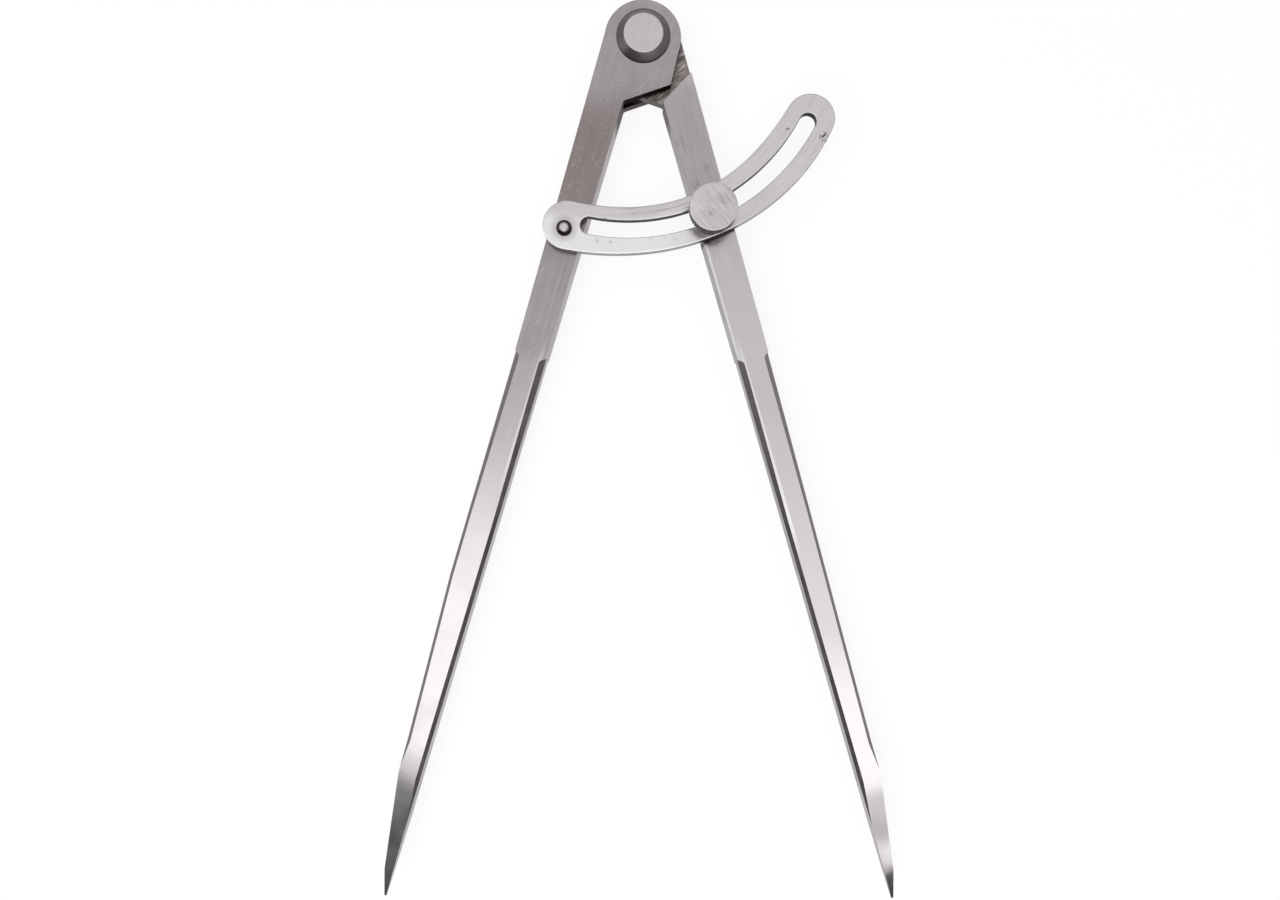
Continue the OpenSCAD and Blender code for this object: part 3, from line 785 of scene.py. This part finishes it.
ridge = add_node(ridges, "GeometryNodeJoinGeometry", {0: shank.outputs[0]})
ridges.links.new(top, ridge.inputs[0])
ridges.links.new(foot, ridge.inputs[0])
outward = add_node(ridges, "GeometryNodeInputPosition").outputs[0]
facing = add_node(ridges, "FunctionNodeAlignRotationToVector", {"Vector": outward},
                  axis="X").outputs[0]
crowd = add_node(ridges, "GeometryNodeInstanceOnPoints",
                 {"Points": ring, "Instance": ridge.outputs[0], "Rotation": facing}).outputs[0]
placed = add_node(ridges, "GeometryNodeTransform",
                  {"Geometry": crowd, "Translation": given["Centre"]}).outputs[0]
solid = add_node(ridges, "GeometryNodeRealizeInstances", {0: placed}).outputs[0]
flat = add_node(ridges, "GeometryNodeSetShadeSmooth",
                {"Geometry": solid, "Shade Smooth": False}).outputs[0]
whole = add_node(ridges, "GeometryNodeJoinGeometry", {0: given["Geometry"]})
ridges.links.new(flat, whole.inputs[0])
finished = add_node(ridges, "GeometryNodeSetMaterial",
                    {"Geometry": whole.outputs[0], "Material": given["Finish"]}).outputs[0]
add_node(ridges, "NodeGroupOutput", {0: finished})

core = bpy.data.objects.new("thumb_knob_core", marked_mesh("knob_core", core_shape))
bpy.context.scene.collection.objects.link(core)
knurl = core.modifiers.new("knurl", "NODES")
knurl.node_group = ridges
for item in ridges.interface.items_tree:
    if item.in_out == "INPUT" and item.name in sizes:
        knurl[item.identifier] = sizes[item.name]
depsgraph = bpy.context.evaluated_depsgraph_get()
knob_data = bpy.data.meshes.new_from_object(core.evaluated_get(depsgraph))
core.modifiers.remove(knurl)
bpy.data.objects.remove(core)
knob_data.name = "thumb_knob_knurled"
stand_in("thumb_knob_knurled", knob_data, "thumb_screw", "thumb_knob")


# The clamp stud. The steel screw of the knob: a thread in the right leg, a thin neck in the wing's
# slot and a plain part in the washer and the knob.

STUD_R = 2.0
STUD_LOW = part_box("clamp_stud")[0].z / MM
STUD_STEPS = 48
THREAD_PITCH = 0.7
THREAD_DEPTH = 0.35
THREAD_HIGH = 7.6
THREAD_ROWS = 8
THREAD_START = 0.5
NECK_R = 0.8
NECK_LOW = THREAD_HIGH + 0.1
NECK_HIGH = 11.45
PLAIN_R = STUD_R - 0.05
PLAIN_LOW = 11.55
PLAIN_HIGH = 15.0


def thread_point(i, z):
    """A point of the thread: the ridge climbs by its pitch in one turn, and starts shallow."""
    turn = (z / THREAD_PITCH - i / STUD_STEPS) % 1.0
    crest = (1 - abs(2 * turn - 1)) * min(1.0, (z - STUD_LOW) / THREAD_START)
    r = STUD_R - THREAD_DEPTH * (1 - crest)
    a = 2 * math.pi * i / STUD_STEPS
    return Vector((STUD_AT[0] + r * math.cos(a), STUD_AT[1] + r * math.sin(a)))


stud_shape = bmesh.new()
row_count = int((THREAD_HIGH - STUD_LOW) * THREAD_ROWS / THREAD_PITCH)
rows = []
for z in (STUD_LOW + i * THREAD_PITCH / THREAD_ROWS for i in range(row_count)):
    rows.append(ring_at(stud_shape, [thread_point(i, z) for i in range(STUD_STEPS)], z))
for r, z in ((NECK_R, NECK_LOW), (NECK_R, NECK_HIGH), (PLAIN_R, PLAIN_LOW), (PLAIN_R, PLAIN_HIGH)):
    rows.append(ring_at(stud_shape, circle(STUD_AT, r, STUD_STEPS), z))
for low, high in zip(rows, rows[1:]):
    skin(stud_shape, low, high)
stud_shape.faces.new(list(reversed(rows[0])))
stud_shape.faces.new(rows[-1])
bmesh.ops.recalc_face_normals(stud_shape, faces=stud_shape.faces)

# Screw steel, as cut: a dull dark grey
stud_steel = ground_steel("screw_steel", "#989294", "#756F71", 0.3,
                          line_mm=0.5, length_mm=4, rough=0.36)
piece("clamp_stud_threaded", stud_shape, "thumb_screw", "clamp_stud", "dark_steel",
      finish_steel(stud_steel))


# The bench. A wide white floor just under the tool. It is shown white to the camera and in
# reflections, a little less near the tool, where it keeps a soft shadow.

BENCH_SIZE = 3.0
BENCH_Z = -0.0002
NEAR_TOOL = 0.35
FAR_OFF = 1.0
WHITE_NEAR = 0.86

floor_data = bpy.data.meshes.new("bench")
floor_shape = bmesh.new()
bmesh.ops.create_grid(floor_shape, x_segments=1, y_segments=1, size=BENCH_SIZE)
floor_shape.to_mesh(floor_data)
floor_shape.free()
bench = bpy.data.objects.new("bench", floor_data)
bpy.context.scene.collection.objects.link(bench)
bench.location.z = BENCH_Z
# Matt white paint, which glows just enough to be white
white = bpy.data.materials.new("white_bench_paint")
white.use_nodes = True
tree = white.node_tree
tree.nodes.clear()
path = add_node(tree, "ShaderNodeLightPath").outputs
seen = add_node(tree, "ShaderNodeMath", {0: path["Is Camera Ray"], 1: path["Is Glossy Ray"]},
                operation="MAXIMUM").outputs[0]
seen = add_node(tree, "ShaderNodeMath", {0: seen, 1: path["Is Transmission Ray"]},
                operation="MAXIMUM").outputs[0]
on_bench = add_node(tree, "ShaderNodeTexCoord").outputs["Object"]
away = add_node(tree, "ShaderNodeVectorMath", {0: on_bench}, operation="LENGTH").outputs[1]
full = add_node(tree, "ShaderNodeMapRange",
                {"Value": away, "From Min": NEAR_TOOL, "From Max": FAR_OFF,
                 "To Min": WHITE_NEAR, "To Max": 1.0}).outputs[0]
lit_share = add_node(tree, "ShaderNodeMath", {0: seen, 1: full}, operation="MULTIPLY").outputs[0]
paint = add_node(tree, "ShaderNodeBsdfDiffuse", {"Color": linear("#F9F9F9")}).outputs[0]
glow = add_node(tree, "ShaderNodeEmission",
                {"Color": linear("#FFFFFF"), "Strength": 1.0}).outputs[0]
mixed = add_node(tree, "ShaderNodeMixShader", {0: lit_share, 1: paint, 2: glow}).outputs[0]
add_node(tree, "ShaderNodeOutputMaterial", {"Surface": mixed})
floor_data.materials.append(white)


# The light. A soft sky that is dim at the horizon and brighter overhead and towards the points, as
# a large soft box over the foot of the bench gives, and one soft lamp there for the shadow. The
# box ends at a slanting edge, beyond which the foot side is dark.

HORIZON_LIGHT = 0.4
OVERHEAD_LIGHT = 0.76
BOX_LIGHT = 0.5
DARK_BEYOND_BOX = 0.12
LIGHT_FROM_BELOW = 0.9
LAMP_AT = Vector((-0.35, -0.55, 0.9))
LAMP_AIM = Vector((0, -0.11, 0))
LAMP_SIZE = 1.2
LAMP_WATTS = 9.0

world = bpy.data.worlds.new("soft_studio")
bpy.context.scene.world = world
world.use_nodes = True
tree = world.node_tree
tree.nodes.clear()
sight = add_node(tree, "ShaderNodeTexCoord").outputs["Generated"]
parts = add_node(tree, "ShaderNodeSeparateXYZ", {0: sight}).outputs
over = add_node(tree, "ShaderNodeMapRange",
                {"Value": parts[2], "From Min": 0.3, "From Max": 0.8,
                 "To Min": HORIZON_LIGHT, "To Max": OVERHEAD_LIGHT},
                interpolation_type="SMOOTHSTEP").outputs[0]
slanted = add_node(tree, "ShaderNodeMath", {0: parts[0], 1: 0.25, 2: parts[1]},
                   operation="MULTIPLY_ADD").outputs[0]
foot_side = add_node(tree, "ShaderNodeMapRange",
                     {"Value": slanted, "From Min": 0.15, "From Max": -0.32,
                      "To Min": 0.0, "To Max": BOX_LIGHT},
                     interpolation_type="SMOOTHSTEP").outputs[0]
sideways = add_node(tree, "ShaderNodeMath", {0: parts[0], 1: 0.2, 2: parts[2]},
                    operation="MULTIPLY_ADD").outputs[0]
inside_box = add_node(tree, "ShaderNodeMapRange",
                      {"Value": sideways, "From Min": 0.76, "From Max": 0.83},
                      interpolation_type="SMOOTHSTEP").outputs[0]
foot_half = add_node(tree, "ShaderNodeMapRange",
                     {"Value": parts[1], "From Min": 0.0, "From Max": -0.3},
                     interpolation_type="SMOOTHSTEP").outputs[0]
beyond = add_node(tree, "ShaderNodeMath", {0: 1.0, 1: inside_box},
                  operation="SUBTRACT").outputs[0]
drop = add_node(tree, "ShaderNodeMath", {0: beyond, 1: foot_half},
                operation="MULTIPLY").outputs[0]
box_light = add_node(tree, "ShaderNodeMath", {0: foot_side, 1: over}, operation="ADD").outputs[0]
level = add_node(tree, "ShaderNodeMix", {0: drop, 2: box_light, 3: DARK_BEYOND_BOX},
                 data_type="FLOAT").outputs[0]
below = add_node(tree, "ShaderNodeMapRange",
                 {"Value": parts[2], "From Min": 0.0, "From Max": -0.05}).outputs[0]
level = add_node(tree, "ShaderNodeMix", {0: below, 2: level, 3: LIGHT_FROM_BELOW},
                 data_type="FLOAT").outputs[0]
camera_ray = add_node(tree, "ShaderNodeLightPath").outputs["Is Camera Ray"]
shown = add_node(tree, "ShaderNodeMix", {0: camera_ray, 2: level, 3: 1.0},
                 data_type="FLOAT").outputs[0]
sky = add_node(tree, "ShaderNodeBackground",
               {"Color": linear("#FFFFFF"), "Strength": shown}).outputs[0]
add_node(tree, "ShaderNodeOutputWorld", {"Surface": sky})

lamp_data = bpy.data.lights.new("soft_lamp", "AREA")
lamp_data.shape = "DISK"
lamp_data.size = LAMP_SIZE
lamp_data.energy = LAMP_WATTS
lamp = bpy.data.objects.new("soft_lamp", lamp_data)
lamp.location = LAMP_AT
lamp.rotation_euler = (LAMP_AIM - LAMP_AT).to_track_quat("-Z", "Y").to_euler()
lamp.visible_glossy = False
bpy.context.scene.collection.objects.link(lamp)


# The camera. It looks straight down on the tool from about a hand's length above it, with the
# focal length given in pixels of a picture 1280 pixels wide.

SENSOR_WIDTH = 36
FOCAL_PIXELS = 740
PICTURE_PIXELS = 1280

camera_data = bpy.data.cameras.new("overhead")
camera_data.sensor_fit = "HORIZONTAL"
camera_data.sensor_width = SENSOR_WIDTH
camera_data.lens = SENSOR_WIDTH * FOCAL_PIXELS / PICTURE_PIXELS
camera_data.clip_start = 0.005
camera = bpy.data.objects.new("overhead", camera_data)
camera.location = (-0.94 * MM, -114.4 * MM, 213.4 * MM)
bpy.context.scene.collection.objects.link(camera)
bpy.context.scene.camera = camera

bpy.context.scene.view_settings.view_transform = "Standard"
